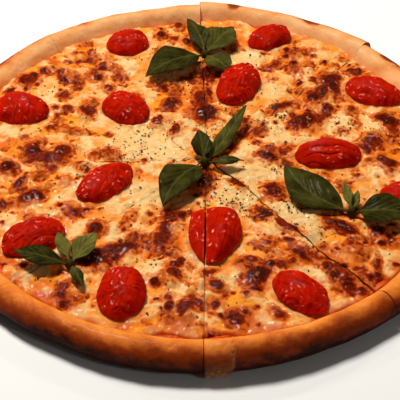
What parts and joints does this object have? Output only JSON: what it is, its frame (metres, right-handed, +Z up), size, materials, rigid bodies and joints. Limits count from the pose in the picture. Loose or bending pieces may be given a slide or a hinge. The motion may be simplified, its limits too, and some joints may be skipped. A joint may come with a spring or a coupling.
{
  "type": "margherita pizza",
  "caption": "Round baked pizza cut into slices that lie together: raised browned rim, tomato sauce, melted blistered cheese, halved cherry tomatoes and basil sprigs.",
  "frame": {"origin": "middle of the round pizza, on the flat surface that it rests on", "axes": "+Z up, through the thickness; -Y towards the viewer of the picture, +X to the right; two of the cuts run nearly along -Y and +Y"},
  "size_m": [0.3007, 0.304, 0.0233],
  "materials": {
    "crust": "baked wheat dough, golden brown and dry, darker underneath",
    "sauce": "moist cooked tomato sauce",
    "cheese": "melted cheese, oily, with browned blisters",
    "tomato": "roasted cherry tomato skin, wrinkled and glossy",
    "basil": "wilted basil leaves, dark green with a slight sheen"
  },
  "bodies": {
    "root": {"crust_front_right": "crust", "sauce_front_right": "sauce", "cheese_front_right": "cheese", "crust_right_front": "crust", "sauce_right_front": "sauce", "cheese_right_front": "cheese", "crust_right_back": "crust", "sauce_right_back": "sauce", "cheese_right_back": "cheese", "crust_back_right": "crust", "sauce_back_right": "sauce", "cheese_back_right": "cheese", "crust_back_left": "crust", "sauce_back_left": "sauce", "cheese_back_left": "cheese", "crust_left_back": "crust", "sauce_left_back": "sauce", "cheese_left_back": "cheese", "crust_left_front": "crust", "sauce_left_front": "sauce", "cheese_left_front": "cheese", "crust_front_left": "crust", "sauce_front_left": "sauce", "cheese_front_left": "cheese", "tomato_back_left": "tomato", "tomato_left": "tomato", "tomato_left_of_middle": "tomato", "tomato_back_right": "tomato", "tomato_behind_middle": "tomato", "tomato_right_back": "tomato", "tomato_right_of_middle": "tomato", "tomato_front_of_middle_left": "tomato", "tomato_left_front": "tomato", "tomato_front_left": "tomato", "tomato_front_right": "tomato", "tomato_right_front": "tomato", "tomato_front_cut_left": "tomato", "tomato_front_cut_right": "tomato", "basil_back": "basil", "basil_middle": "basil", "basil_right": "basil", "basil_left": "basil"}
  },
  "joints": []
}
